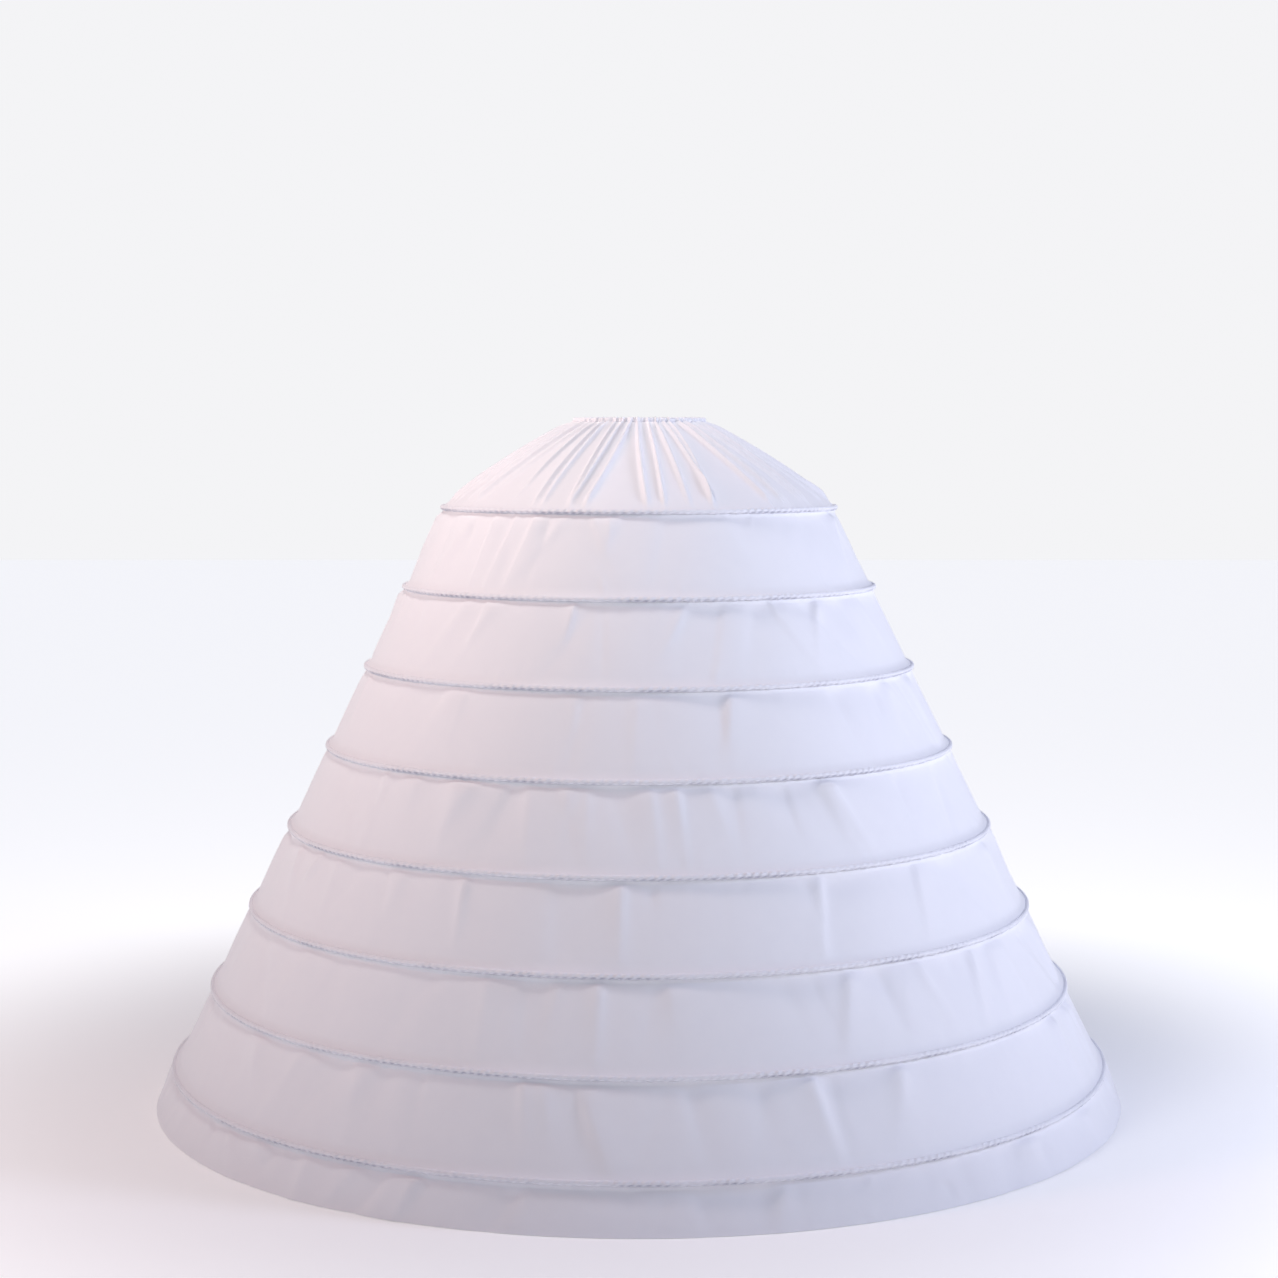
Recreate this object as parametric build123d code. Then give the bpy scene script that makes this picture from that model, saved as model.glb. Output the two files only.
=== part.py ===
from build123d import *
import math
import os

# Crinoline cage: a cloth petticoat held open by eight sprung hoops.
# Millimetres, +Z up. The origin is the centre of the waist opening at its top edge.
# The wearer faces -Y, and every hoop's ends meet at centre back, on the +Y side.

# Driving dimensions
waist_radius = 105.0  # inside of the waist, at rest
yoke_height = 152.0  # waist edge down to the first hoop
hoop_count = 8
first_hoop_radius = 336.0  # to the centre of the wire
hoop_radius_step = 66.0
hoop_pitch = 134.5  # height between two hoops
hem_drop = 70.0  # last hoop down to the floor edge

# Cloth and sewing
cloth = 1.2  # thickness of the cloth with its slack
hem_turn_up = 16.0
yoke_bulge = 5.0  # the yoke stands this far outside a straight cone

# Waist casing, folded from the top edge of the yoke
elastic_width = 6.0
elastic_thickness = 1.5
elastic_play = 0.25

# Hoops, their casings and joiners
wire_radius = 2.0
wire_end_gap = 1.0
casing_play = 0.2
casing_wall = 2.0
casing_clearance = 0.1
seam_allowance = 10.0
seam_strip = 1.4
seam_bite = 0.8  # how far the seam strip runs into the tube's wall
threading_gap = 60.0  # opening in the casing's tube at centre back
joiner_length = 40.0
joiner_play = 0.05
joiner_wall = 0.8

# The side of the skirt is a straight cone: unit vectors down it and out of it, in (radius, height)
side_length = math.hypot(hoop_radius_step, hoop_pitch)
down = (hoop_radius_step / side_length, -hoop_pitch / side_length)
out = (hoop_pitch / side_length, hoop_radius_step / side_length)

tube_radius = wire_radius + casing_play + casing_wall
tube_lift = tube_radius + casing_clearance  # tube centre above the cloth's outer face
half_seam = seam_strip / 2


def hoop_radius(hoop):
    """Radius of hoop 1 to 8, to the centre of its wire."""
    return first_hoop_radius + (hoop - 1) * hoop_radius_step


def hoop_height(hoop):
    """Height of hoop 1 to 8 in the garment's frame."""
    return -yoke_height - (hoop - 1) * hoop_pitch


def at_seam(hoop, along, above):
    """Point in (radius, height): along the side from a hoop's seam, and above its outer face."""
    rise = above - tube_lift
    radius = hoop_radius(hoop) + along * down[0] + rise * out[0]
    height = hoop_height(hoop) + along * down[1] + rise * out[1]
    return (radius, height)


def at_height(hoop, height, above):
    """Point of the side's line that is `above` its outer face, at a given height."""
    start = at_seam(hoop, 0, above)
    radius = start[0] + (height - start[1]) * down[0] / down[1]
    return (radius, height)


def ring(profile, degrees=360):
    """Ring about Z from a (radius, height) profile, with any gap centred at the back."""
    start = 90 + (360 - degrees) / 2
    return Rot(0, 0, start) * revolve(Plane.XZ * profile, Axis.Z, degrees)


def arc_degrees(length, radius):
    """Angle of an arc of a given length."""
    return math.degrees(length / radius)


def outline(points):
    """Closed face with straight sides."""
    return make_face(Polyline(*points, close=True))


def make_yoke():
    """Gathered top of the skirt, with the waist tunnel folded from its own top edge."""
    tunnel = elastic_thickness + 2 * elastic_play
    tunnel_inside = waist_radius + cloth
    tunnel_outside = tunnel_inside + tunnel
    outside = tunnel_outside + cloth
    drop = elastic_width + 2 * elastic_play
    band = drop + 2 * cloth
    seam_outer = at_seam(1, -half_seam, 0)
    seam_inner = at_seam(1, -half_seam, -cloth)
    top_outer = (outside, -band)
    top_inner = (waist_radius, -band)
    outer_middle = (
        (top_outer[0] + seam_outer[0]) / 2 + yoke_bulge / 2,
        (top_outer[1] + seam_outer[1]) / 2 + yoke_bulge,
    )
    inner_middle = (outer_middle[0] - cloth / 2, outer_middle[1] - cloth)
    lip = (tunnel_outside, -band - cloth / 2)
    edges = [
        Line((waist_radius, 0), (outside, 0)),
        Line((outside, 0), top_outer),
        ThreePointArc(top_outer, outer_middle, seam_outer),
        Line(seam_outer, seam_inner),
        ThreePointArc(seam_inner, inner_middle, lip),
        Line(lip, top_inner),
        Line(top_inner, (waist_radius, 0)),
    ]
    cloth_section = make_face(Curve() + edges)
    hollow = Pos((tunnel_inside + tunnel_outside) / 2, -cloth - drop / 2) * Rectangle(tunnel, drop)
    return ring(cloth_section - hollow)


def make_waist_elastic():
    """Flat elastic ring that lies free in the waist tunnel."""
    middle = waist_radius + cloth + elastic_play + elastic_thickness / 2
    height = -cloth - elastic_play - elastic_width / 2
    return ring(Pos(middle, height) * Rectangle(elastic_thickness, elastic_width))


def make_tier(hoop):
    """Cone-shaped band of cloth from a hoop's seam down to the next one."""
    points = [
        at_seam(hoop, half_seam, 0),
        at_seam(hoop + 1, -half_seam, 0),
        at_seam(hoop + 1, -half_seam, -cloth),
        at_seam(hoop, half_seam, -cloth),
    ]
    return ring(outline(points))


def make_hem_tier():
    """Band below the last hoop, its edge turned up inside to twice the thickness."""
    floor_edge = hoop_height(hoop_count) - hem_drop
    hem_inner = at_height(hoop_count, floor_edge, -2 * cloth)
    turn_inner = at_height(hoop_count, floor_edge + hem_turn_up, -2 * cloth)
    turn_outer = (turn_inner[0] + cloth * out[0], turn_inner[1] + cloth * out[1])
    points = [
        at_seam(hoop_count, half_seam, 0),
        at_height(hoop_count, floor_edge, 0),
        hem_inner,
        turn_inner,
        turn_outer,
        at_seam(hoop_count, half_seam, -cloth),
    ]
    return ring(outline(points))


def make_hoop_casing(hoop):
    """Strip folded round a hoop, its two edges caught in the seam and turned down inside."""
    allowance_outer = -cloth - casing_clearance
    allowance_inner = allowance_outer - seam_strip
    strip = outline([
        at_seam(hoop, -half_seam, casing_clearance + seam_bite),
        at_seam(hoop, half_seam, casing_clearance + seam_bite),
        at_seam(hoop, half_seam, allowance_outer),
        at_seam(hoop, seam_allowance, allowance_outer),
        at_seam(hoop, seam_allowance, allowance_inner),
        at_seam(hoop, -half_seam, allowance_inner),
    ])
    wire_centre = (hoop_radius(hoop), hoop_height(hoop))
    tube = Pos(*wire_centre) * (Circle(tube_radius) - Circle(tube_radius - casing_wall))
    open_degrees = 360 - arc_degrees(threading_gap, hoop_radius(hoop))
    return ring(strip) + ring(tube, open_degrees)


def make_hoop(hoop):
    """Coated spring-steel wire bent to a ring, its two ends meeting at centre back."""
    wire = Pos(hoop_radius(hoop), hoop_height(hoop)) * Circle(wire_radius)
    return ring(wire, 360 - arc_degrees(wire_end_gap, hoop_radius(hoop)))


def make_hoop_joiner(hoop):
    """Short tube pushed over both ends of a hoop."""
    inside = wire_radius + joiner_play
    section = Circle(inside + joiner_wall) - Circle(inside)
    degrees = arc_degrees(joiner_length, hoop_radius(hoop))
    tube = revolve(Plane.XZ * (Pos(hoop_radius(hoop), hoop_height(hoop)) * section), Axis.Z, degrees)
    return Rot(0, 0, 90 - degrees / 2) * tube


def main():
    """Build every piece and write one file each."""
    pieces = {
        "yoke": make_yoke(),
        "waist_elastic": make_waist_elastic(),
        "hem_tier": make_hem_tier(),
    }
    for hoop in range(1, hoop_count):
        pieces[f"tier_{hoop}"] = make_tier(hoop)
    for hoop in range(1, hoop_count + 1):
        pieces[f"hoop_casing_{hoop}"] = make_hoop_casing(hoop)
        pieces[f"hoop_{hoop}"] = make_hoop(hoop)
        pieces[f"hoop_joiner_{hoop}"] = make_hoop_joiner(hoop)
    os.makedirs("parts", exist_ok=True)
    for name, piece in pieces.items():
        export_step(piece, f"parts/{name}.step")


main()
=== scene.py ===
"""Looks of a cloth crinoline cage: a gathered yoke, seven tiers and a hem tier over eight cased hoops."""

import logging
import math
from dataclasses import dataclass, field
from enum import Enum

import bpy
import numpy as np
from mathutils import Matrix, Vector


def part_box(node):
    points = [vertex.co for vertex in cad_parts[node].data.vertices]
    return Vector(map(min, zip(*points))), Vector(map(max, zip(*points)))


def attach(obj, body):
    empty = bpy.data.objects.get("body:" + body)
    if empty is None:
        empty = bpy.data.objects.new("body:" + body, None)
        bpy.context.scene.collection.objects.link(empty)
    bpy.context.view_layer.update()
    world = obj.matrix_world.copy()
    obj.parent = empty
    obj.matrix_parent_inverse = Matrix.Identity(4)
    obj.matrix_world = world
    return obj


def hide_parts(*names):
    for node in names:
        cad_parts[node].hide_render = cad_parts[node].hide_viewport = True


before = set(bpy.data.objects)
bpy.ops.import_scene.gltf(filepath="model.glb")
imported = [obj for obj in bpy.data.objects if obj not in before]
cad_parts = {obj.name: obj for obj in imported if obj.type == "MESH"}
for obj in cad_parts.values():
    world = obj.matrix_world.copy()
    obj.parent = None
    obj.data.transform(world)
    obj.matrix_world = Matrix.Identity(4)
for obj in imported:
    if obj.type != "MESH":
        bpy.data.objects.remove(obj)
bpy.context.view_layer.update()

log = logging.getLogger("crinoline_cage")

MM = 0.001
FULL_TURN = 2 * math.pi
BACK = math.pi / 2  # centre back is on +Y; the wearer faces -Y
FRONT = -math.pi / 2
HOOP_COUNT = 8
CLOTH_THICKNESS = 0.5 * MM
SHARP_DEGREES = 60.0  # edges above this angle keep their crispness when a piece is shaded smooth
NEVER = 9.0  # metres, longer than any piece: its cloth doesn't meet itself in that direction
CUSP_SOFTNESS = 0.16  # how round a fold's crest is, in squares of its half width
CUSP_STEEPNESS = 1.7  # how quickly a fold's sides fall away


class Slot(Enum):
    """Material slots of the record; the pieces here are given their materials directly, not through these.
    """

    CLOTH = "cloth"
    CASING = "casing_cloth"
    ELASTIC = "elastic"
    WIRE = "hoop_wire"
    JOINER = "joiner_metal"


class Hold(Enum):
    """Ways in which a cloth piece is held."""

    GATHERED = "gathered"
    HUNG = "hung"
    FOLDED = "folded"


# ---------------------------------------------------------------- sizes read from the frame


@dataclass(frozen=True)
class Hoop:
    """One sprung hoop.

    Attributes:
        number: 1 at the top to 8 at the bottom.
        radius: To the centre of its wire, in metres.
        height: Of the centre of its wire, in metres.
    """

    number: int
    radius: float
    height: float


def read_hoop(number: int) -> Hoop:
    """Reads one hoop's size and place from its CAD node.

    Args:
        number: 1 at the top to 8 at the bottom.

    Returns:
        The hoop.
    """
    low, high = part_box(f"hoop_{number}")
    wire_radius = (high[2] - low[2]) / 2
    return Hoop(number, high[0] - wire_radius, (high[2] + low[2]) / 2)


@dataclass(frozen=True)
class Side:
    """The straight cone that the tiers hang on, as directions in (radius, height)."""

    first: Hoop
    second: Hoop

    @property
    def down(self) -> np.ndarray:
        """Unit vector down the side."""
        step = np.array([self.second.radius - self.first.radius, self.second.height - self.first.height])
        return step / np.linalg.norm(step)

    @property
    def out(self) -> np.ndarray:
        """Unit vector out of the side."""
        return np.array([-self.down[1], self.down[0]])

    @property
    def spacing(self) -> float:
        """Distance between two hoops down the side."""
        return math.hypot(self.second.radius - self.first.radius, self.second.height - self.first.height)


@dataclass(frozen=True)
class Garment:
    """Every size that the pieces share, all worked out from the CAD nodes.

    Attributes:
        hoops: The hoops from top to bottom.
        side: The cone that the tiers hang on.
        waist_radius: Inside of the waist.
        waist_outside: Outside of the waist tunnel.
        tunnel_depth: Height of the waist tunnel.
        floor: Height of the hem's edge.
        face: How far the cloth's outer face lies inside the hoops' centre line.
    """

    hoops: tuple[Hoop, ...]
    side: Side
    waist_radius: float
    waist_outside: float
    tunnel_depth: float
    floor: float
    face: float = 4.3 * MM

    def point(self, hoop: Hoop, along: np.ndarray, above: np.ndarray) -> tuple[np.ndarray, np.ndarray]:
        """Place beside a hoop, measured down the side and out of the cloth's face.

        Args:
            hoop: The hoop that it is measured from.
            along: Distance down the side.
            above: Distance out of the cloth's face.

        Returns:
            Radius and height.
        """
        rise = above - self.face
        radius = hoop.radius + along * self.side.down[0] + rise * self.side.out[0]
        height = hoop.height + along * self.side.down[1] + rise * self.side.out[1]
        return radius, height


def read_garment() -> Garment:
    """Reads the garment's sizes from the CAD nodes.

    Returns:
        The garment.
    """
    hoops = tuple(read_hoop(number) for number in range(1, HOOP_COUNT + 1))
    elastic_low, elastic_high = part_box("waist_elastic")
    hem_low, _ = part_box("hem_tier")
    cloth = 1.2 * MM
    play = 0.25 * MM
    elastic = 1.5 * MM
    waist = elastic_high[0] - elastic - play - cloth
    return Garment(
        hoops=hoops,
        side=Side(hoops[0], hoops[1]),
        waist_radius=waist,
        waist_outside=elastic_high[0] + play + cloth,
        tunnel_depth=elastic_high[2] - elastic_low[2] + 2 * (play + cloth),
        floor=hem_low[2],
    )


# ---------------------------------------------------------------- meshes


def smooth(values: np.ndarray, start: float, end: float) -> np.ndarray:
    """Smooth step from 0 to 1 between two values."""
    part = np.clip((values - start) / (end - start), 0.0, 1.0)
    return part * part * (3.0 - 2.0 * part)


def around(count: int) -> np.ndarray:
    """Angles of a full turn, starting at centre back."""
    return BACK + np.linspace(0.0, FULL_TURN, count, endpoint=False)


def apart(angles: np.ndarray, centre: float) -> np.ndarray:
    """Signed difference from each angle to a centre, within half a turn."""
    return (angles - centre + math.pi) % FULL_TURN - math.pi


def new_object(name: str, points: np.ndarray, faces: np.ndarray) -> bpy.types.Object:
    """Makes a mesh object at the origin.

    Args:
        name: The object's name.
        points: Vertices, one row each.
        faces: Quads, four vertex numbers a row.

    Returns:
        The new object.
    """
    mesh = bpy.data.meshes.new(name)
    mesh.vertices.add(len(points))
    mesh.vertices.foreach_set("co", points.astype(np.float32).ravel())
    mesh.loops.add(faces.size)
    mesh.loops.foreach_set("vertex_index", faces.astype(np.int32).ravel())
    mesh.polygons.add(len(faces))
    mesh.polygons.foreach_set("loop_start", np.arange(0, faces.size, 4, dtype=np.int32))
    mesh.update(calc_edges=True)
    mesh.validate()
    piece = bpy.data.objects.new(name, mesh)
    bpy.context.scene.collection.objects.link(piece)
    return piece


def grid_faces(rows: int, columns: int, start: int = 0) -> np.ndarray:
    """Quads of a grid whose rows go down and whose columns go round, the last one joined to the first.

    Args:
        rows: Number of vertex rows.
        columns: Number of vertex columns.
        start: Number of the grid's first vertex.

    Returns:
        Four vertex numbers a row, ordered so that faces look outwards.
    """
    column = np.arange(columns)
    following = (column + 1) % columns
    row = np.arange(rows - 1)[:, None]
    upper_left = row * columns + column
    upper_right = row * columns + following
    lower_right = (row + 1) * columns + following
    lower_left = (row + 1) * columns + column
    quads = np.stack([upper_left, lower_left, lower_right, upper_right], axis=-1)
    return quads.reshape(-1, 4) + start


def ring_points(radius: np.ndarray, height: np.ndarray, angles: np.ndarray) -> np.ndarray:
    """Turns radius and height grids into points.

    Args:
        radius: Radii, rows by columns.
        height: Heights, rows by columns.
        angles: One angle a column, or rows by columns.

    Returns:
        Points, one row each, row after row.
    """
    turned = np.broadcast_to(angles, radius.shape)
    return np.stack([radius * np.cos(turned), radius * np.sin(turned), height], axis=-1).reshape(-1, 3)


def lay_uv(piece: bpy.types.Object, place: np.ndarray, period: tuple[float, float]) -> None:
    """Gives a piece of quads a UV map in metres, so that a weave has its real size.

    Args:
        piece: The object.
        place: Distance across and down the cloth, one row a vertex.
        period: Distances across and down after which the cloth meets itself.
    """
    mesh = piece.data
    vertex = np.empty(len(mesh.loops), dtype=np.int32)
    mesh.loops.foreach_get("vertex_index", vertex)
    uv = place[vertex].reshape(-1, 4, 2)
    for axis, turn in enumerate(period):
        values = uv[..., axis]
        wraps = values.max(axis=1) - values.min(axis=1) > turn / 2
        values[wraps] = np.where(values[wraps] < turn / 2, values[wraps] + turn, values[wraps])
    layer = mesh.uv_layers.new(name="cloth")
    layer.data.foreach_set("uv", uv.astype(np.float32).ravel())


def sheet_places(columns: int, across: float, down: np.ndarray) -> np.ndarray:
    """Distances across and down a closed grid, one row a vertex."""
    grid = np.meshgrid(np.arange(columns) / columns * across, down)
    return np.stack(grid, axis=-1).reshape(-1, 2)


def apply_modifier(piece: bpy.types.Object, modifier: bpy.types.Modifier) -> None:
    """Applies one modifier to a piece."""
    bpy.ops.object.select_all(action="DESELECT")
    bpy.context.view_layer.objects.active = piece
    piece.select_set(True)
    bpy.ops.object.modifier_apply(modifier=modifier.name)
    piece.select_set(False)


def thicken(piece: bpy.types.Object) -> None:
    """Gives a cloth surface its thickness, inwards from its outer face."""
    modifier = piece.modifiers.new("thickness", "SOLIDIFY")
    modifier.thickness = CLOTH_THICKNESS
    modifier.offset = -1.0
    modifier.use_even_offset = False
    apply_modifier(piece, modifier)


def shade_smooth(piece: bpy.types.Object) -> None:
    """Shades a piece smooth, with its sharp edges kept."""
    bpy.ops.object.select_all(action="DESELECT")
    bpy.context.view_layer.objects.active = piece
    piece.select_set(True)
    bpy.ops.object.shade_smooth_by_angle(angle=math.radians(SHARP_DEGREES))
    piece.select_set(False)


# ---------------------------------------------------------------- creases in cloth


@dataclass(frozen=True)
class Crease:
    """One soft fold that runs down a piece of cloth.

    Attributes:
        angle: Where it starts, round the axis.
        drift: How far it turns round the axis over one metre down.
        start: Distance down the cloth where it begins.
        length: How long it is, down the cloth; negative if it runs upwards.
        width: Half its width in metres.
        height: How far it stands out; negative for a valley.
        lean: 0 for an even fold, up to 1 for one with a steep side.
    """

    angle: float
    drift: float
    start: float
    length: float
    width: float
    height: float
    lean: float = 0.0

    def relief(self, angles: np.ndarray, down: np.ndarray, radius: np.ndarray) -> np.ndarray:
        """Height of this fold over a grid.

        Args:
            angles: One angle a column.
            down: Distance down the cloth, one a row.
            radius: Radius of the cloth, one a row.

        Returns:
            Heights, rows by columns.
        """
        line = self.angle + self.drift * (down[:, None] - self.start)
        offset = apart(angles[None, :], line) * radius[:, None] / self.width
        side = 1.0 + self.lean * np.tanh(offset * 2.0)
        from_crest = np.sqrt((offset * side) ** 2 + CUSP_SOFTNESS) - math.sqrt(CUSP_SOFTNESS)
        shape = np.exp(-CUSP_STEEPNESS * from_crest)
        part = (down - self.start) / self.length
        fade = np.where(part < 0, np.exp(-((part / 0.25) ** 2)), np.exp(-(part**2) * 1.8))
        return self.height * shape * fade[:, None]


def relief_of(creases: list[Crease], angles: np.ndarray, down: np.ndarray, radius: np.ndarray) -> np.ndarray:
    """Adds up many creases over one grid."""
    total = np.zeros((len(down), len(angles)))
    for crease in creases:
        total += crease.relief(angles, down, radius)
    return total


# The folds that show most, each with the number of the hoop that its tier hangs from
PLACED_FOLDS = [
    (1, Crease(math.radians(-118.6), -0.63, 0.000, 0.190, 10.0 * MM, 7.0 * MM, -0.8)),
    (1, Crease(math.radians(-125.4), -0.50, 0.000, 0.180, 8.0 * MM, 6.0 * MM, -0.7)),
    (1, Crease(math.radians(-132.7), -0.20, 0.000, 0.170, 10.0 * MM, 6.0 * MM, -0.7)),
    (1, Crease(math.radians(-141.4), 0.05, 0.000, 0.090, 10.0 * MM, -4.0 * MM, 0.0)),
    (1, Crease(math.radians(-97.5), 0.0, 0.004, 0.050, 4.0 * MM, 2.6 * MM, 0.5)),
    (2, Crease(math.radians(-126.0), -0.5, 0.000, 0.090, 7.0 * MM, 5.5 * MM, -0.6)),
    (2, Crease(math.radians(-104.0), -0.4, 0.000, 0.080, 6.0 * MM, 5.0 * MM, 0.6)),
    (4, Crease(math.radians(-110.5), -0.5, 0.000, 0.140, 15.0 * MM, -5.5 * MM, -0.6)),
    (4, Crease(math.radians(-84.0), 0.15, 0.000, 0.120, 11.0 * MM, 6.0 * MM, 0.5)),
    (4, Crease(math.radians(-66.0), 0.3, 0.008, 0.080, 10.0 * MM, -6.0 * MM, 0.6)),
    (5, Crease(math.radians(-101.0), 0.0, 0.010, 0.150, 18.0 * MM, -5.5 * MM, -0.4)),
    (5, Crease(math.radians(-92.5), 0.0, 0.010, 0.160, 14.0 * MM, 6.0 * MM, 0.3)),
    (5, Crease(math.radians(-88.2), 0.05, 0.000, 0.050, 7.0 * MM, -5.0 * MM, 0.4)),
    (6, Crease(math.radians(-104.0), 0.0, 0.010, 0.140, 18.0 * MM, -5.0 * MM, -0.4)),
    (6, Crease(math.radians(-95.0), 0.0, 0.010, 0.150, 13.0 * MM, 5.5 * MM, 0.3)),
    (6, Crease(math.radians(-58.0), 0.35, 0.005, 0.110, 16.0 * MM, -5.5 * MM, 0.4)),
    (7, Crease(math.radians(-70.0), 0.25, 0.005, 0.120, 13.0 * MM, 6.0 * MM, 0.4)),
    (7, Crease(math.radians(-97.0), 0.0, 0.010, 0.140, 20.0 * MM, -4.5 * MM, 0.2)),
    (8, Crease(math.radians(-55.8), 0.15, 0.042, 0.022, 4.0 * MM, -5.0 * MM, 0.6)),
]


# ---------------------------------------------------------------- finishes


def linear(hex_colour: str) -> tuple[float, float, float, float]:
    """Turns an sRGB hex colour into a linear one.

    Args:
        hex_colour: Six hex digits.

    Returns:
        Linear red, green, blue and an alpha of 1.
    """
    channels = [int(hex_colour[i : i + 2], 16) / 255 for i in (0, 2, 4)]
    flat = [c / 12.92 if c <= 0.04045 else ((c + 0.055) / 1.055) ** 2.4 for c in channels]
    return (flat[0], flat[1], flat[2], 1.0)


def add_node(tree: bpy.types.NodeTree, kind: str, settings: dict, links: dict) -> bpy.types.Node:
    """Adds a shader node.

    Args:
        tree: The material's node tree.
        kind: The node's type name after ShaderNode.
        settings: Attributes by name, and socket values by socket name or number.
        links: Output sockets of other nodes, by input socket name or number.

    Returns:
        The new node.
    """
    node = tree.nodes.new("ShaderNode" + kind)
    for name, value in settings.items():
        if isinstance(name, int) or name in node.inputs:
            node.inputs[name].default_value = value
        else:
            setattr(node, name, value)
    for name, source in links.items():
        tree.links.new(source, node.inputs[name])
    return node


@dataclass(frozen=True)
class WovenCloth:
    """Plain-woven white polyester: matt threads with a faint sheen where the light grazes them.

    Attributes:
        name: The material's name.
        lit: Colour of the threads on top.
        shaded: Colour between the threads.
        thread: Spacing of the threads in metres, drawn coarser than the real 0.25 mm so that it shows.
        roughness: Roughness of the threads.
        slub: Strength of the uneven threads.
        rope: Depth of the slanting gathers that sewing round a hoop leaves, in metres; 0 for none.
        gather: Spacing of those gathers, in metres.
        painted_stitch_shade: Colour of painted shade on the pressed cloth along the stitch line under the
            gathers, on the tube's underside.
        stitch_shade_place: Where that painted shade lies round the tube, in metres.
    """

    name: str
    lit: str
    shaded: str
    thread: float = 1.1 * MM
    roughness: float = 0.62
    slub: float = 0.35
    rope: float = 0.0
    gather: float = 6.0 * MM
    # Colour of the painted shade along the stitch line under the casing tube
    painted_stitch_shade: str = "a9a9b9"
    stitch_shade_place: float = 22.3 * MM

    def build(self) -> bpy.types.Material:
        """Builds the material.

        Returns:
            The material, its weave laid on the cloth's own UV map in metres.
        """
        material = bpy.data.materials.new(self.name)
        material.use_nodes = True
        tree = material.node_tree
        shader = tree.nodes["Principled BSDF"]
        shader.inputs["Roughness"].default_value = self.roughness
        shader.inputs["Sheen Weight"].default_value = 0.25
        shader.inputs["Sheen Roughness"].default_value = 0.45
        shader.inputs["Specular IOR Level"].default_value = 0.35
        place = add_node(tree, "UVMap", {"uv_map": "cloth"}, {})
        turns = 1.0 / self.thread
        scaled = add_node(tree, "Mapping", {"Scale": (turns, turns, turns)}, {"Vector": place.outputs["UV"]})
        bands = {"wave_type": "BANDS", "Scale": 1.0 / FULL_TURN, "Distortion": 0.0}
        warp, weft = (
            add_node(tree, "TexWave", bands | {"bands_direction": way}, {"Vector": scaled.outputs["Vector"]})
            for way in ("X", "Y")
        )
        weave = add_node(
            tree, "Math", {"operation": "MULTIPLY"}, {0: warp.outputs["Fac"], 1: weft.outputs["Fac"]}
        )
        slub = add_node(
            tree, "TexNoise",
            {"Scale": 38.0, "Detail": 3.0, "Roughness": 0.55}, {"Vector": place.outputs["UV"]},
        )
        tone = add_node(
            tree, "Math", {"operation": "MULTIPLY_ADD", 1: self.slub, 2: 0.35}, {0: slub.outputs["Fac"]}
        )
        colour = add_node(
            tree, "Mix",
            {"data_type": "RGBA", 6: linear(self.shaded), 7: linear(self.lit)}, {0: tone.outputs["Value"]},
        )
        tree.links.new(colour.outputs[2], shader.inputs["Base Color"])
        bump = add_node(
            tree, "Bump", {"Strength": 0.10, "Distance": 0.2 * MM}, {"Height": weave.outputs["Value"]}
        )
        tree.links.new(bump.outputs["Normal"], shader.inputs["Normal"])
        # Gathers as bumps, with painted shade along the stitch line under them
        if self.rope:
            self.gathers(tree, place, colour, bump)
        return material

    def gathers(
        self, tree: bpy.types.NodeTree, place: bpy.types.Node, colour: bpy.types.Node, weave: bpy.types.Node
    ) -> None:
        """Lays slanting gathers over the cloth, deeper in some stretches, with painted shade along the
        stitch line under them.

        Args:
            tree: The material's node tree.
            place: The UV map's node.
            colour: The node that gives the cloth its colour.
            weave: The bump node that they are laid over.
        """
        shader = tree.nodes["Principled BSDF"]
        turns = 1.0 / self.gather
        slanted = add_node(
            tree,
            "Mapping",
            {"Scale": (turns, turns, turns), "Rotation": (0.0, 0.0, math.radians(28.0))},
            {"Vector": place.outputs["UV"]},
        )
        bands = {"wave_type": "BANDS", "bands_direction": "X", "Scale": 1.0 / FULL_TURN}
        ridges = add_node(
            tree, "TexWave",
            bands | {"Distortion": 1.6, "Detail": 1.0}, {"Vector": slanted.outputs["Vector"]},
        )
        stretches = add_node(
            tree, "TexNoise", {"Scale": 9.0, "Detail": 1.0}, {"Vector": place.outputs["UV"]}
        )
        depth = add_node(
            tree, "MapRange", {1: 0.38, 2: 0.62, 3: 0.25, 4: 1.0}, {0: stretches.outputs["Fac"]}
        )
        height = add_node(
            tree, "Math", {"operation": "MULTIPLY"}, {0: ridges.outputs["Fac"], 1: depth.outputs[0]}
        )
        bump = add_node(
            tree, "Bump", {"Strength": 0.9, "Distance": self.rope},
            {"Height": height.outputs["Value"], "Normal": weave.outputs["Normal"]},
        )
        tree.links.new(bump.outputs["Normal"], shader.inputs["Normal"])
        # Painted shade: a darker band round the tube's underside at the stitch line
        parts = add_node(tree, "SeparateXYZ", {}, {0: place.outputs["UV"]})
        away = add_node(
            tree, "Math", {"operation": "SUBTRACT", 1: self.stitch_shade_place}, {0: parts.outputs["Y"]}
        )
        distance = add_node(tree, "Math", {"operation": "ABSOLUTE"}, {0: away.outputs["Value"]})
        band = add_node(
            tree,
            "MapRange",
            {"interpolation_type": "SMOOTHSTEP", 1: 1.6 * MM, 2: 4.8 * MM, 3: 1.0, 4: 0.0},
            {0: distance.outputs["Value"]},
        )
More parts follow.
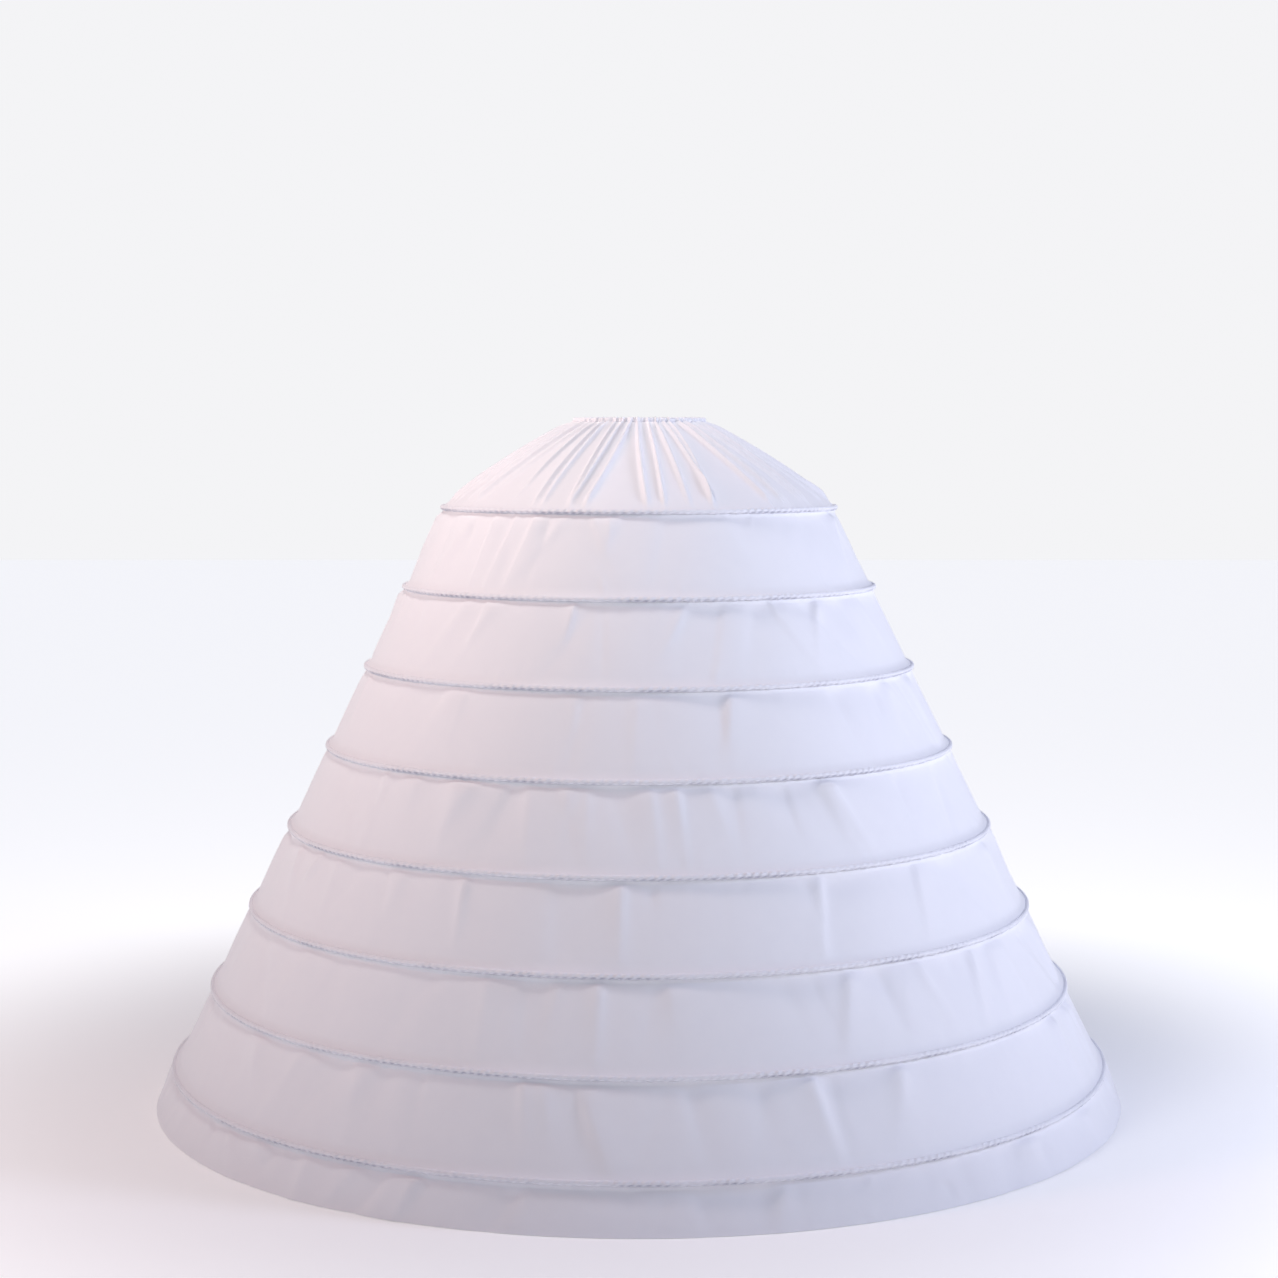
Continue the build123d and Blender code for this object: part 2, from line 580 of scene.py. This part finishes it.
        # The painted shade is deeper in the grooves between gathers than on their crests
        groove_shade = add_node(tree, "MapRange", {1: 0.0, 2: 1.0, 3: 0.9, 4: 0.35}, {0: ridges.outputs["Fac"]})
        painted_shade = add_node(tree, "Math", {"operation": "MULTIPLY"}, {0: band.outputs[0], 1: groove_shade.outputs[0]})
        patchy_shade = add_node(
            tree, "Math", {"operation": "MULTIPLY"}, {0: painted_shade.outputs["Value"], 1: depth.outputs[0]}
        )
        # Mixes the painted shade into the cloth's colour
        painted_stitch_shade = add_node(
            tree, "Mix", {"data_type": "RGBA", 7: linear(self.painted_stitch_shade)},
            {0: patchy_shade.outputs["Value"], 6: colour.outputs[2]},
        )
        tree.links.new(painted_stitch_shade.outputs[2], shader.inputs["Base Color"])


@dataclass(frozen=True)
class PlainFinish:
    """A smooth finish with a faint unevenness: moulded plastic coating, braided elastic or drawn steel.

    Attributes:
        name: The material's name.
        colour: Main colour.
        second: Colour that it varies towards.
        roughness: Roughness.
        metallic: 1 for bare metal.
        grain: Size of the unevenness in metres.
    """

    name: str
    colour: str
    second: str
    roughness: float
    metallic: float
    grain: float

    def build(self) -> bpy.types.Material:
        """Builds the material.

        Returns:
            The material, its unevenness laid on Object coordinates.
        """
        material = bpy.data.materials.new(self.name)
        material.use_nodes = True
        tree = material.node_tree
        shader = tree.nodes["Principled BSDF"]
        shader.inputs["Roughness"].default_value = self.roughness
        shader.inputs["Metallic"].default_value = self.metallic
        place = add_node(tree, "TexCoord", {}, {})
        uneven = add_node(
            tree, "TexNoise", {"Scale": 1.0 / self.grain, "Detail": 4.0}, {"Vector": place.outputs["Object"]}
        )
        colour = add_node(
            tree, "Mix", {"data_type": "RGBA", 6: linear(self.colour), 7: linear(self.second)},
            {0: uneven.outputs["Fac"]},
        )
        tree.links.new(colour.outputs[2], shader.inputs["Base Color"])
        bump = add_node(
            tree, "Bump", {"Strength": 0.15, "Distance": 0.1 * MM}, {"Height": uneven.outputs["Fac"]}
        )
        tree.links.new(bump.outputs["Normal"], shader.inputs["Normal"])
        return material


# ---------------------------------------------------------------- the garment's pieces


def settle(piece: bpy.types.Object, material: bpy.types.Material, stands_for: list[str]) -> None:
    """Dresses a piece and ties it to the frame.

    Args:
        piece: The finished piece.
        material: Its material.
        stands_for: CAD nodes that it replaces.
    """
    piece.data.materials.clear()
    piece.data.materials.append(material)
    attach(piece, "root")
    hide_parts(*stands_for)
    triangles = sum(len(face.vertices) - 2 for face in piece.data.polygons)
    log.info("%s: %d triangles", piece.name, triangles)


@dataclass
class Yoke:
    """Gathered top of the skirt, cut as one strip and drawn in by the elastic at the waist.

    Attributes:
        garment: The garment's sizes.
        material: The cloth.
        columns: Vertex columns in a full turn.
        rows: Vertex rows down the slope.
        folds: Number of long folds.
        bulge: How far it stands outside a straight line from waist to hoop.
        ruffles: Numbers of small waves in a full turn of the waist's edge.
        draws: Seeded numbers, the same on every run.
    """

    garment: Garment
    material: bpy.types.Material
    columns: int = 1056
    rows: int = 34
    folds: int = 52
    bulge: float = 6.0 * MM
    ruffles: tuple[int, ...] = (97, 131, 173)
    draws: np.random.Generator = field(default_factory=lambda: np.random.default_rng(11))

    def slope(self) -> tuple[np.ndarray, np.ndarray, np.ndarray]:
        """Line from the waist tunnel's lower edge to the first hoop.

        Returns:
            Radius, height and distance down, one a row.
        """
        part = np.linspace(0.0, 1.0, self.rows) ** 1.15
        end_radius, end_height = self.garment.point(self.garment.hoops[0], -4.5 * MM, 3.2 * MM)
        start = np.array([self.garment.waist_outside, -self.garment.tunnel_depth])
        end = np.array([end_radius, end_height])
        line = start + (end - start) * part[:, None]
        across = np.array([-(end - start)[1], (end - start)[0]]) / np.linalg.norm(end - start)
        arch = 4.0 * part * (1.0 - part) * self.bulge
        line = line + across * arch[:, None]
        down = part * float(np.linalg.norm(end - start))
        return line[:, 0], line[:, 1], down

    def long_folds(self, angles: np.ndarray, down: np.ndarray, radius: np.ndarray) -> np.ndarray:
        """Laid folds from the waist towards the first hoop: a crest, a steep side and a flat panel.

        Args:
            angles: One angle a column.
            down: Distance down the slope, one a row.
            radius: Radius of the slope, one a row.

        Returns:
            Heights, rows by columns.
        """
        draws = self.draws
        step = FULL_TURN / self.folds
        length = float(down[-1])
        total = np.zeros((len(down), len(angles)))
        for number in range(self.folds):
            start = FRONT + (number + draws.uniform(-0.26, 0.26)) * step
            drift = draws.normal(0.0, 0.2)
            reach = length * draws.uniform(0.95, 1.8)
            height = draws.uniform(4.4, 8.8) * MM
            way = 1.0 if math.cos(start) + draws.normal(0.0, 0.25) < 0 else -1.0
            steep = draws.uniform(1.2, 2.0) * MM
            crest = draws.uniform(0.8, 1.3) * MM
            panel = draws.uniform(0.75, 1.05) * step
            offset = apart(angles[None, :], start + drift * down[:, None]) * radius[:, None] * way
            grow = (1.0 + 1.2 * down / length)[:, None]
            behind = np.exp(-((np.minimum(offset, 0.0) / (steep * grow)) ** 2))
            wide = (panel * radius)[:, None]
            ahead = 0.42 * np.exp(-np.maximum(offset - crest, 0.0) / (0.28 * wide))
            ahead = ahead + 0.58 * np.exp(-((np.maximum(offset - crest, 0.0) / (1.9 * crest * grow)) ** 2))
            fade = 1.0 - smooth(down / reach, 0.48, 1.0)
            total += height * np.where(offset < 0, behind, ahead) * fade[:, None]
        return total

    def short_folds(self) -> list[Crease]:
        """Small folds that die out close to the waist."""
        creases = []
        for _ in range(2 * self.folds):
            creases.append(
                Crease(
                    angle=self.draws.uniform(0.0, FULL_TURN),
                    drift=self.draws.normal(0.0, 0.3),
                    start=self.draws.uniform(0.0, 0.008),
                    length=self.draws.uniform(0.02, 0.07),
                    width=self.draws.uniform(2.0, 3.6) * MM,
                    height=self.draws.uniform(-2.4, 2.8) * MM,
                )
            )
        return creases

    def tunnel(self, angles: np.ndarray, folds: np.ndarray) -> tuple[np.ndarray, np.ndarray]:
        """The cloth folded over the elastic, from its inner edge over the top and down outside.

        Args:
            angles: One angle a column.
            folds: Height of the yoke's folds where they meet the waist, one a column.

        Returns:
            Radius and height, rows by columns.
        """
        inside = self.garment.waist_radius + 0.2 * MM
        outside = self.garment.waist_outside
        depth = self.garment.tunnel_depth
        middle = (inside + outside) / 2
        half = (outside - inside) / 2
        turn = np.linspace(math.pi, 0.0, 7)
        radius = np.concatenate([[inside, inside], middle + half * np.cos(turn), [outside, outside]])
        over = -half + half * np.sin(turn)
        height = np.concatenate([[-depth, -0.5 * depth], over, [-0.4 * depth, -0.75 * depth]])
        outer = smooth(radius, middle, outside)[:, None]
        ruffle = np.zeros(len(angles))
        for waves in self.ruffles:
            phase = self.draws.uniform(0.0, FULL_TURN)
            wander = 1.7 * np.sin(5 * angles + phase)
            ruffle += np.sin(waves * angles + phase + wander) / len(self.ruffles)
        top = smooth(height, -4.0 * MM, 0.0)[:, None]
        carried = np.linspace(0.0, 1.0, len(radius))[:, None] * folds[None, :]
        grid_radius = radius[:, None] + outer * ((0.3 + 0.9 * ruffle[None, :]) * MM + carried)
        grid_height = height[:, None] + top * ((1.1 * ruffle[None, :] - 0.7) * MM + 0.34 * carried)
        return grid_radius, grid_height

    def build(self) -> bpy.types.Object:
        """Returns:
            The piece.
        """
        angles = around(self.columns)
        radius, height, down = self.slope()
        length = float(down[-1])
        creases = self.short_folds()
        relief = self.long_folds(angles, down, radius) + relief_of(creases, angles, down, radius)
        settle_in = 0.62 + 0.38 * smooth(down, 0.0, 0.03)
        settle_in *= 1.0 - 0.96 * smooth(down, length - 0.028, length - 0.003)
        relief *= settle_in[:, None]
        end = np.array([radius[-1] - radius[0], height[-1] - height[0]])
        outwards = np.array([-end[1], end[0]]) / np.linalg.norm(end)
        slope_radius = radius[:, None] + relief * outwards[0]
        slope_height = height[:, None] + relief * outwards[1]
        tunnel_radius, tunnel_height = self.tunnel(angles, relief[0])
        all_radius = np.concatenate([tunnel_radius, slope_radius])
        all_height = np.concatenate([tunnel_height, slope_height])
        points = ring_points(all_radius, all_height, angles)
        piece = new_object("gathered_yoke", points, grid_faces(len(all_radius), self.columns))
        mean_radius = all_radius.mean(axis=1)
        mean_height = all_height.mean(axis=1)
        steps = np.hypot(np.diff(mean_radius), np.diff(mean_height))
        across = FULL_TURN * radius[-1]
        place = sheet_places(self.columns, across, np.concatenate([[0.0], np.cumsum(steps)]))
        lay_uv(piece, place, (across, NEVER))
        thicken(piece)
        shade_smooth(piece)
        settle(piece, self.material, ["yoke"])
        return piece


@dataclass
class Tier:
    """Cone-shaped band of cloth from one hoop down to the next, or down to the floor for the last.

    Attributes:
        garment: The garment's sizes.
        hoop: The hoop that it hangs from.
        below: The hoop that it ends on, or None for the hem tier.
        material: The cloth.
        columns: Vertex columns in a full turn.
        rows: Vertex rows down the band.
        hem: Height of the last band's turned-up edge.
        seam_rows: Places of the first rows, close together because the cloth turns at the seam.
        sink: How far a fold may lie inside the band's plain cone.
    """

    garment: Garment
    hoop: Hoop
    below: Hoop | None
    material: bpy.types.Material
    columns: int = 660
    rows: int = 22
    hem: float = 16.0 * MM
    seam_rows: tuple[float, ...] = (0.0, 1.6 * MM, 3.2 * MM, 4.8 * MM, 6.4 * MM, 8.5 * MM)
    sink: float = 3.4 * MM

    @property
    def draws(self) -> np.random.Generator:
        """Seeded numbers, the same on every run and different on every tier."""
        return np.random.default_rng(100 + self.hoop.number)

    def profile(self) -> tuple[np.ndarray, np.ndarray]:
        """Section of the band.

        Returns:
            Distance down and height out of the cloth's face, one a row.
        """
        if self.below is None:
            floor_point = (self.hoop.height - self.garment.floor) / -self.garment.side.down[1]
            end = floor_point - 1.4 * MM
        else:
            end = self.garment.side.spacing - 2.5 * MM
        evenly = np.linspace(11.0 * MM, end, self.rows - len(self.seam_rows))
        down = np.concatenate([self.seam_rows, evenly])
        welt = 1.1 * MM * np.exp(-(((down - 5.0 * MM) / (2.4 * MM)) ** 2))
        above = welt + 0.1 * MM
        if self.below is not None:
            above = above + 4.6 * MM * smooth(down, end - 8.0 * MM, end - 1.0 * MM)
        return down, above

    def turn_up(
        self, radius: np.ndarray, height: np.ndarray, down: np.ndarray
    ) -> tuple[np.ndarray, np.ndarray, np.ndarray]:
        """Carries the cloth round its lower edge and up inside, as a hem.

        Args:
            radius: Radii of the band, rows by columns.
            height: Heights of the band, rows by columns.
            down: Distance down the cloth, one a row.

        Returns:
            The same three with the hem's rows added.
        """
        out = self.garment.side.out * 1.5 * MM
        radii, heights, places = [radius], [height], [down]
        for back in (0.6 * MM, 3.0 * MM, 0.5 * self.hem, self.hem):
            level = down[-1] - back
            row = int(np.searchsorted(down, level)) - 1
            part = (level - down[row]) / (down[row + 1] - down[row])
            radii.append(((1.0 - part) * radius[row] + part * radius[row + 1] - out[0])[None, :])
            heights.append(((1.0 - part) * height[row] + part * height[row + 1] - out[1])[None, :])
            places.append(np.array([down[-1] + back]))
        low = self.garment.floor + 0.3 * MM
        return np.concatenate(radii), np.maximum(np.concatenate(heights), low), np.concatenate(places)

    def creases(self, length: float) -> list[Crease]:
        """Soft drape folds, each starting at a seam, with small puckers along the stitching."""
        draws = self.draws
        creases = [fold for number, fold in PLACED_FOLDS if number == self.hoop.number]
        for _ in range(46 + 9 * self.hoop.number):
            angle = draws.uniform(0.0, FULL_TURN)
            outwards = math.copysign(0.3, math.cos(angle)) * abs(math.cos(angle))
            creases.append(
                Crease(
                    angle=angle,
                    drift=(outwards + draws.normal(0.0, 0.3)) / self.hoop.radius,
                    start=draws.uniform(-0.01, 0.03),
                    length=length * draws.uniform(0.4, 1.4),
                    width=draws.uniform(9.0, 26.0) * MM,
                    height=draws.uniform(-5.2, 6.0) * MM,
                    lean=draws.uniform(-0.7, 0.7),
                )
            )
        for _ in range(60 + 20 * self.hoop.number):
            from_above = draws.uniform() < 0.6
            size = draws.uniform(0.010, 0.034)
            creases.append(
                Crease(
                    angle=draws.uniform(0.0, FULL_TURN),
                    drift=draws.normal(0.0, 1.0) / self.hoop.radius,
                    start=0.004 if from_above else length - 0.012,
                    length=size if from_above else -size,
                    width=draws.uniform(2.6, 6.0) * MM,
                    height=draws.uniform(-2.0, 2.4) * MM,
                )
            )
        return creases

    def build(self) -> bpy.types.Object:
        """Returns:
            The piece.
        """
        angles = around(self.columns)
        down, above = self.profile()
        length = float(down[-1])
        plain_radius, plain_height = self.garment.point(self.hoop, down, above)
        relief = relief_of(self.creases(length), angles, down, plain_radius)
        relief = np.where(relief < 0.0, self.sink * np.tanh(relief / self.sink), relief)
        ease = smooth(down, 0.003, 0.020)
        if self.below is not None:
            ease = ease * (1.0 - 0.9 * smooth(down, length - 0.022, length - 0.003))
        relief *= ease[:, None]
        radius = plain_radius[:, None] + relief * self.garment.side.out[0]
        height = plain_height[:, None] + relief * self.garment.side.out[1]
        if self.below is None:
            height = np.maximum(height, self.garment.floor + 0.3 * MM)
            radius, height, down = self.turn_up(radius, height, down)
            length += self.hem
        number = self.hoop.number
        name = "cloth_hem_tier" if self.below is None else f"cloth_tier_{number}"
        node = "hem_tier" if self.below is None else f"tier_{number}"
        points = ring_points(radius, height, angles)
        piece = new_object(name, points, grid_faces(len(radius), self.columns))
        middle = float(plain_radius.mean())
        lay_uv(piece, sheet_places(self.columns, FULL_TURN * middle, down), (FULL_TURN * middle, NEVER))
        thicken(piece)
        shade_smooth(piece)
        settle(piece, self.material, [node])
        return piece


@dataclass
class HoopCasing:
    """Strip of cloth folded round a hoop, puckered by the stitching that closes it.

    Attributes:
        garment: The garment's sizes.
        hoop: The hoop inside it.
        material: The cloth.
        bore: Inner radius of the tube.
        wall: Thickness of the folded cloth with its puckers.
        sides: Vertices round the tube.
        pucker_lengths: Wavelengths of the puckers.
        gap: Length of the opening at centre back through which the hoop is threaded.
        flap_depth: Width of each edge that is caught in the seam.
        flap_thickness: Thickness of such an edge.
        flap_columns: Vertex columns of a caught edge.
    """

    garment: Garment
    hoop: Hoop
    material: bpy.types.Material
    bore: float = 3.0 * MM
    wall: float = 1.2 * MM
    sides: int = 10
    pucker_lengths: tuple[float, ...] = (9.5 * MM, 13.0 * MM, 19.0 * MM, 34.0 * MM)
    gap: float = 60.0 * MM
    flap_depth: float = 10.0 * MM
    flap_thickness: float = 0.35 * MM
    flap_columns: int = 260

    @property
    def columns(self) -> int:
        """Columns round the skirt, one for about every four millimetres."""
        return int(FULL_TURN * self.hoop.radius / (4.0 * MM))

    def puckers(self, angles: np.ndarray, turn: np.ndarray) -> np.ndarray:
        """Pinches of the cloth, from -1 to 1, that slant round the tube.

        Args:
            angles: Angles round the skirt, one a column.
            turn: Angles round the tube, one a row.

        Returns:
            Pinches, rows by columns.
        """
        draws = np.random.default_rng(300 + self.hoop.number)
        slant = 3.0 * MM * np.sin(turn)[:, None]
        length = angles[None, :] * self.hoop.radius + slant
        total = np.zeros(length.shape)
        for wavelength in self.pucker_lengths:
            phase = draws.uniform(0.0, FULL_TURN)
            wander = 2.5 * np.sin(length / 0.11 + phase) + 1.5 * np.sin(length / 0.047 + 2 * phase)
            total += np.sin(length * FULL_TURN / wavelength + wander)
        return np.clip(total / 2.0, -1.0, 1.0)

    def tube(self) -> tuple[np.ndarray, np.ndarray, np.ndarray]:
        """The cloth round the hoop, open at both ends of the threading gap.

        Returns:
            Points, quads, and distances along and round the cloth for each point.
        """
        half_gap = self.gap / 2 / self.hoop.radius
        angles = BACK + np.linspace(half_gap, FULL_TURN - half_gap, self.columns)
        turn = np.linspace(0.0, FULL_TURN, self.sides, endpoint=False)
        below = np.clip(-np.sin(turn), 0.0, 1.0)[:, None]
        section = self.bore + self.wall + (0.25 + 0.55 * below) * self.puckers(angles, turn) * MM
        walls = []
        for reach in (section, np.full(section.shape, self.bore)):
            radius = self.hoop.radius + reach * np.cos(turn)[:, None]
            height = self.hoop.height + reach * np.sin(turn)[:, None]
            walls.append(ring_points(radius.T, height.T, angles[:, None]))
        count = len(walls[0])
        faces = [grid_faces(self.columns, self.sides)]
        faces.append(grid_faces(self.columns, self.sides, start=count)[:, ::-1])
        side = np.arange(self.sides)
        following = (side + 1) % self.sides
        faces.append(np.stack([side, following, following + count, side + count], axis=-1))
        last = (self.columns - 1) * self.sides
        far_end = [following + last, side + last, side + last + count, following + last + count]
        faces.append(np.stack(far_end, axis=-1))
        along = np.repeat((angles - BACK) * self.hoop.radius, self.sides)
        round_it = np.tile(turn * (self.bore + self.wall), self.columns)
        place = np.stack([along, round_it], axis=-1)
        return np.concatenate(walls), np.concatenate(faces), np.concatenate([place, place])

    def flap(self, outer: float, start: int) -> tuple[np.ndarray, np.ndarray, np.ndarray]:
        """One edge of the strip, caught in the seam and turned down inside the skirt.

        Args:
            outer: Height of its outer face over the cloth's, negative because it lies inside.
            start: Number of its first vertex.

        Returns:
            Points, quads, and distances along and down the cloth for each point.
        """
        angles = around(self.flap_columns)
        ripple = 0.35 * MM * np.sin(angles * 61.0 + 1.3 * np.sin(angles * 7.0))
        inner = outer - self.flap_thickness
        down = np.array([-0.7 * MM, self.flap_depth, self.flap_depth, -0.7 * MM])
        above = np.array([outer, outer, inner, inner])
        radius, height = self.garment.point(self.hoop, down, above)
        loose = (down > 0.0)[:, None] * (ripple - 0.35 * MM)[None, :]
        points = ring_points(radius[:, None] + loose, np.broadcast_to(height[:, None], loose.shape), angles)
        corner = np.arange(4)[:, None]
        column = np.arange(self.flap_columns)[None, :]
        next_column = (column + 1) % self.flap_columns
        next_corner = (corner + 1) % 4
        quads = np.stack(
            [
                corner * self.flap_columns + column,
                next_corner * self.flap_columns + column,
                next_corner * self.flap_columns + next_column,
                corner * self.flap_columns + next_column,
            ],
            axis=-1,
        ).reshape(-1, 4)
        along = np.tile((angles - BACK) * self.hoop.radius, 4)
        across = np.repeat(np.array([0.0, 10.0, 10.5, 20.5]) * MM, self.flap_columns)
        return points, quads + start, np.stack([along, across], axis=-1)

    def build(self) -> bpy.types.Object:
        """Returns:
            The piece.
        """
        parts = [self.tube()]
        for outer in (-0.75 * MM, -1.2 * MM):
            parts.append(self.flap(outer, sum(len(part[0]) for part in parts)))
        points, faces, place = (np.concatenate(values) for values in zip(*parts))
        piece = new_object(f"cloth_casing_{self.hoop.number}", points, faces)
        around_tube = FULL_TURN * (self.bore + self.wall)
        lay_uv(piece, place, (FULL_TURN * self.hoop.radius, around_tube))
        shade_smooth(piece)
        settle(piece, self.material, [f"hoop_casing_{self.hoop.number}"])
        # The gap is cut from the tube alone, about half of the strip's width
        return piece


# ---------------------------------------------------------------- studio


@dataclass(frozen=True)
class Studio:
    """Pale floor, soft lights and the camera.

    Attributes:
        garment: The garment's sizes.
        distance: From the skirt's axis to the camera.
        rise: Height of the camera above the first hoop.
        pitch: Degrees that the camera looks down.
        lens: Focal length in millimetres on a 36 mm sensor.
        floor_glow: Light that the floor gives of its own beside the skirt, like paper lit from below.
        far_glow: The same away from the skirt.
        glow_start: Distance from the skirt's axis where the glow begins to grow.
        glow_end: Distance where it is full.
        wall_top: Sine of the elevation where the white studio walls end.
        ceiling: Sine of the elevation where the dim ceiling begins.
        room_dimness: How dim the room behind the camera is, up to 1 for the ceiling's grey.
    """

    garment: Garment
    distance: float = 4.17
    rise: float = 0.100
    pitch: float = 4.5
    lens: float = 68.3
    floor_glow: float = 0.16
    far_glow: float = 0.73
    glow_start: float = 0.75
    glow_end: float = 1.9
    wall_top: float = 0.22
    ceiling: float = 0.45
    room_dimness: float = 0.78

    def build(self) -> None:
        """Builds the floor, the lights and the camera."""
        self.floor()
        self.lights()
        self.camera()

    def floor(self) -> None:
        """A wide pale floor with painted light: it glows of its own, more away from the skirt than beside
        it.
        """
        bpy.ops.mesh.primitive_plane_add(size=40.0, location=(0.0, 0.0, self.garment.floor - 0.5 * MM))
        floor = bpy.context.active_object
        floor.name = "studio_floor"
        material = bpy.data.materials.new("glowing_white_paper")
        material.use_nodes = True
        tree = material.node_tree
        shader = tree.nodes["Principled BSDF"]
        shader.inputs["Base Color"].default_value = linear("f4f4f5")
        shader.inputs["Roughness"].default_value = 0.9
        # Painted light: the floor emits light, weaker beside the skirt and stronger away from it
        place = add_node(tree, "TexCoord", {}, {})
        away = add_node(tree, "VectorMath", {"operation": "LENGTH"}, {0: place.outputs["Object"]})
        reach = {1: self.glow_start, 2: self.glow_end, 3: self.floor_glow, 4: self.far_glow}
        glow = add_node(
            tree, "MapRange", {"interpolation_type": "SMOOTHSTEP"} | reach, {0: away.outputs["Value"]}
        )
        shader.inputs["Emission Color"].default_value = linear("f7f7f6")
        tree.links.new(glow.outputs[0], shader.inputs["Emission Strength"])
        floor.data.materials.append(material)

    def lights(self) -> None:
        """A warm lamp on the left, a cool one on the right, one above, and a pale sky."""
        world = bpy.data.worlds.new("studio_air")
        bpy.context.scene.world = world
        world.use_nodes = True
        tree = world.node_tree
        direction = add_node(tree, "TexCoord", {}, {})
        parts = add_node(tree, "SeparateXYZ", {}, {0: direction.outputs["Generated"]})
        level = add_node(
            tree,
            "MapRange",
            {"interpolation_type": "SMOOTHSTEP", 1: self.wall_top, 2: self.ceiling, 3: 0.0, 4: 1.0},
            {0: parts.outputs["Z"]},
        )
        room = add_node(
            tree,
            "MapRange",
            {"interpolation_type": "SMOOTHSTEP", 1: -0.1, 2: -0.8, 3: 0.0, 4: self.room_dimness},
            {0: parts.outputs["Y"]},
        )
        dim = add_node(tree, "Math", {"operation": "MAXIMUM"}, {0: level.outputs[0], 1: room.outputs[0]})
        air = add_node(
            tree, "Mix", {"data_type": "RGBA", 6: linear("fdfdff"), 7: linear("74778a")}, {0: dim.outputs[0]}
        )
        background = tree.nodes["Background"]
        background.inputs["Strength"].default_value = 0.92
        tree.links.new(air.outputs[2], background.inputs["Color"])
        bpy.context.scene.view_settings.view_transform = "Standard"
        self.lamp("warm_left", (-1.6, -0.7, 0.7), 8.0, 0.4, "ffbda2")
        self.lamp("cool_right", (2.1, -0.8, 0.35), 22.0, 0.5, "dee4ff")
        self.lamp("soft_top", (-0.55, -0.45, 1.1), 10.0, 0.3, "fffaf6")

    def lamp(
        self, name: str, place: tuple[float, float, float], watts: float, size: float, tint: str
    ) -> None:
        """Adds a square soft lamp that faces the middle of the skirt.

        Args:
            name: The lamp's name.
            place: Where it stands.
            watts: Its power.
            size: Its side in metres.
            tint: Its colour.
        """
        data = bpy.data.lights.new(name, "AREA")
        data.energy = watts
        data.size = size
        data.color = linear(tint)[:3]
        lamp = bpy.data.objects.new(name, data)
        bpy.context.scene.collection.objects.link(lamp)
        lamp.location = place
        middle = self.garment.floor / 2
        away = lamp.location.copy()
        away.z -= middle
        lamp.rotation_euler = away.to_track_quat("Z", "Y").to_euler()

    def camera(self) -> None:
        """Adds the camera in front of the skirt, looking slightly down."""
        data = bpy.data.cameras.new("camera")
        data.lens = self.lens
        data.sensor_width = 36.0
        camera = bpy.data.objects.new("camera", data)
        bpy.context.scene.collection.objects.link(camera)
        camera.location = (0.0, -self.distance, self.garment.hoops[0].height + self.rise)
        camera.rotation_euler = (math.radians(90.0 - self.pitch), 0.0, 0.0)
        bpy.context.scene.camera = camera


# ---------------------------------------------------------------- the whole


def dress_cad_nodes() -> None:
    """Gives the CAD pieces that stay in view their finishes."""
    finishes = {
        "waist_elastic": PlainFinish("braided_elastic", "efeeea", "dcdbd6", 0.8, 0.0, 1.5 * MM),
        "hoop_": PlainFinish("white_plastic_coating", "f2f2f0", "e2e3e4", 0.35, 0.0, 12.0 * MM),
        "hoop_joiner_": PlainFinish("drawn_steel_tube", "c4c6c8", "9fa2a6", 0.32, 1.0, 3.0 * MM),
    }
    built = {prefix: finish.build() for prefix, finish in finishes.items()}
    for name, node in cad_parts.items():
        for prefix in sorted(built, key=len, reverse=True):
            if name.startswith(prefix) and not name.startswith("hoop_casing"):
                node.data.materials.clear()
                node.data.materials.append(built[prefix])
                break


def main() -> None:
    """Builds the garment's cloth over the hoops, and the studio."""
    logging.basicConfig(level=logging.INFO, format="%(message)s")
    garment = read_garment()
    cloth = WovenCloth("woven_polyester_cloth", "f7f7fa", "eeeef4").build()
    # The casing cloth carries painted shade along its stitch line under each tube
    casing_cloth = WovenCloth("woven_polyester_casing", "f8f8fc", "e6e6ee", rope=1.6 * MM).build()
    Yoke(garment, cloth).build()
    below = garment.hoops[1:] + (None,)
    for hoop, next_hoop in zip(garment.hoops, below):
        HoopCasing(garment, hoop, casing_cloth).build()
        Tier(garment, hoop, next_hoop, cloth).build()
    dress_cad_nodes()
    Studio(garment).build()


if __name__ == "__main__":
    main()
